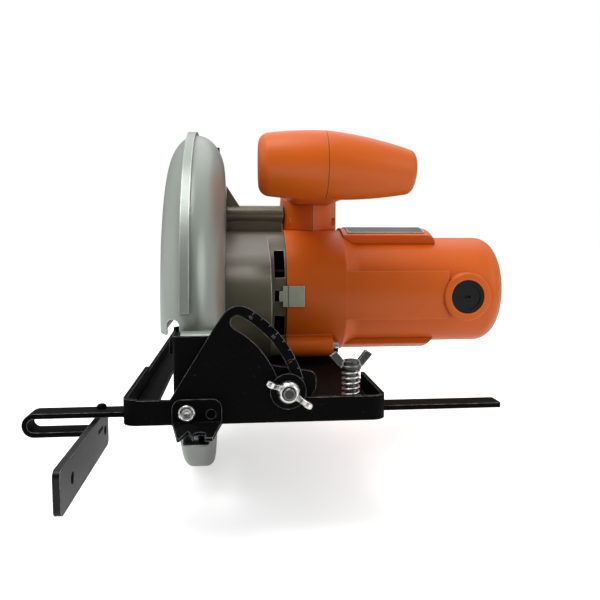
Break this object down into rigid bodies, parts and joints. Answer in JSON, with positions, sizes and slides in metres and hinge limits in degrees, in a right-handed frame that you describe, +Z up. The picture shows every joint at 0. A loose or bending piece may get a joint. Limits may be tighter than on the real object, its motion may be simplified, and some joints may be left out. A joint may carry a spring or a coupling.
{
  "type": "circular saw",
  "caption": "Hand-held circular saw with a domed blade guard, swinging lower guard, barrel front grip, looped rear handle, tilting stamped base with bevel quadrant and a sliding rip fence.",
  "frame": {"origin": "centre of the flat sole of the base plate", "axes": "+Z up from the sole, +Y to the rear of the saw, +X from the blade side to the motor side"},
  "size_m": [0.293, 0.3538, 0.2223],
  "materials": {
    "black_steel": "gloss black paint",
    "zinc_steel": "bright zinc",
    "grey_casting": "satin grey paint on die casting",
    "guard_metal": "pale satin",
    "blade_steel": "ground steel",
    "carbide": "ground carbide",
    "lamination": "varnished laminations",
    "copper": "enamelled copper",
    "dark_plastic": "matt black",
    "carbon": "matt carbon",
    "orange_plastic": "satin orange"
  },
  "bodies": {
    "base": {"base_plate": "black_steel", "sight_guide": "black_steel", "bevel_pivot_front": "zinc_steel", "bevel_pivot_rear": "zinc_steel", "fence_bridge": "black_steel", "fence_spring": "zinc_steel"},
    "fence": {"fence_bar": "black_steel", "fence_plate": "black_steel", "fence_rivet": "black_steel"},
    "fence_bolt": {"fence_wing_bolt": "zinc_steel"},
    "tilt_frame": {"tilt_bracket": "black_steel", "tilt_rail": "black_steel", "rear_bracket": "black_steel", "depth_guide": "black_steel", "depth_pin": "black_steel", "bevel_stud": "zinc_steel", "bevel_washer": "black_steel"},
    "bevel_nut": {"bevel_wing_nut": "zinc_steel"},
    "saw_body": {"upper_guard": "grey_casting", "gear_housing": "grey_casting", "bearing_plate": "grey_casting", "motor_housing": "orange_plastic", "housing_screws": "zinc_steel", "guard_screws": "zinc_steel", "fan_baffle": "dark_plastic", "field_core": "lamination", "field_coils": "copper", "brush_holders": "copper", "carbon_brushes": "carbon", "brush_caps": "dark_plastic", "nameplate": "dark_plastic", "handle_left": "orange_plastic", "handle_right": "orange_plastic", "handle_screws": "zinc_steel", "handle_link_screw": "zinc_steel", "switch_body": "dark_plastic", "trigger_pin": "zinc_steel", "spindle_bearings": "blade_steel", "armature_bearings": "blade_steel", "guard_retainer": "zinc_steel", "guard_spring": "zinc_steel", "spanner_clip": "zinc_steel", "depth_clamp_bolt": "zinc_steel"},
    "lower_guard": {"lower_guard": "guard_metal"},
    "blade": {"blade": "blade_steel", "blade_tips": "carbide", "inner_flange": "blade_steel", "outer_flange": "blade_steel", "blade_bolt": "blade_steel", "spindle": "blade_steel", "spindle_gear": "blade_steel"},
    "armature": {"armature_shaft": "blade_steel", "armature_core": "lamination", "armature_windings": "copper", "commutator": "copper", "cooling_fan": "dark_plastic"},
    "trigger": {"trigger": "dark_plastic"},
    "lock_off": {"lock_off_button": "dark_plastic"},
    "depth_lever": {"depth_lever": "dark_plastic"}
  },
  "joints": [
    {"name": "fence_slide", "type": "slide", "parent": "base", "child": "fence", "axis": [1, 0, 0], "range_m": [-0.055, 0.01]},
    {"name": "fence_bolt_turn", "type": "hinge", "parent": "base", "child": "fence_bolt", "pos_m": [0.048, -0.118, 0.02], "axis": [0, 0, 1], "range_deg": [0, 180]},
    {"name": "bevel_tilt", "type": "hinge", "parent": "base", "child": "tilt_frame", "pos_m": [-0.033, 0, 0.006], "axis": [0, -1, 0], "range_deg": [0, 45]},
    {"name": "bevel_nut_turn", "type": "hinge", "parent": "tilt_frame", "child": "bevel_nut", "pos_m": [0.0151, -0.137, 0.01535], "axis": [0, -1, 0], "range_deg": [0, 180]},
    {"name": "depth_swing", "type": "hinge", "parent": "tilt_frame", "child": "saw_body", "pos_m": [-0.025, -0.116, 0.0355], "axis": [1, 0, 0], "range_deg": [0, 30]},
    {"name": "lower_guard_swing", "type": "hinge", "parent": "saw_body", "child": "lower_guard", "pos_m": [-0.023, 0.002, 0.0435], "axis": [1, 0, 0], "range_deg": [0, 110], "stiffness_Nm_per_rad": 0.15, "springref_deg": -34.38, "deforming": ["guard_spring"]},
    {"name": "blade_spin", "type": "hinge", "parent": "saw_body", "child": "blade", "pos_m": [-0.033, 0.002, 0.0435], "axis": [1, 0, 0], "continuous": true},
    {"name": "armature_spin", "type": "hinge", "parent": "saw_body", "child": "armature", "pos_m": [0.09, 0.04037, 0.0505], "axis": [1, 0, 0], "continuous": true},
    {"name": "trigger_pull", "type": "hinge", "parent": "saw_body", "child": "trigger", "pos_m": [0.046, 0.073, 0.124], "axis": [1, 0, 0], "range_deg": [0, 9], "stiffness_Nm_per_rad": 0.6, "springref_deg": -8.59},
    {"name": "lock_off_push", "type": "slide", "parent": "saw_body", "child": "lock_off", "axis": [1, 0, 0], "range_m": [0, 0.0025], "stiffness_N_per_m": 120, "springref_m": -0.003},
    {"name": "depth_lever_turn", "type": "hinge", "parent": "saw_body", "child": "depth_lever", "pos_m": [-0.008, 0.12379, 0.02545], "axis": [1, 0, 0], "range_deg": [0, 35]}
  ],
  "couplings": [
    {"joint": "armature_spin", "follows": "blade_spin", "ratio": -4.2}
  ]
}
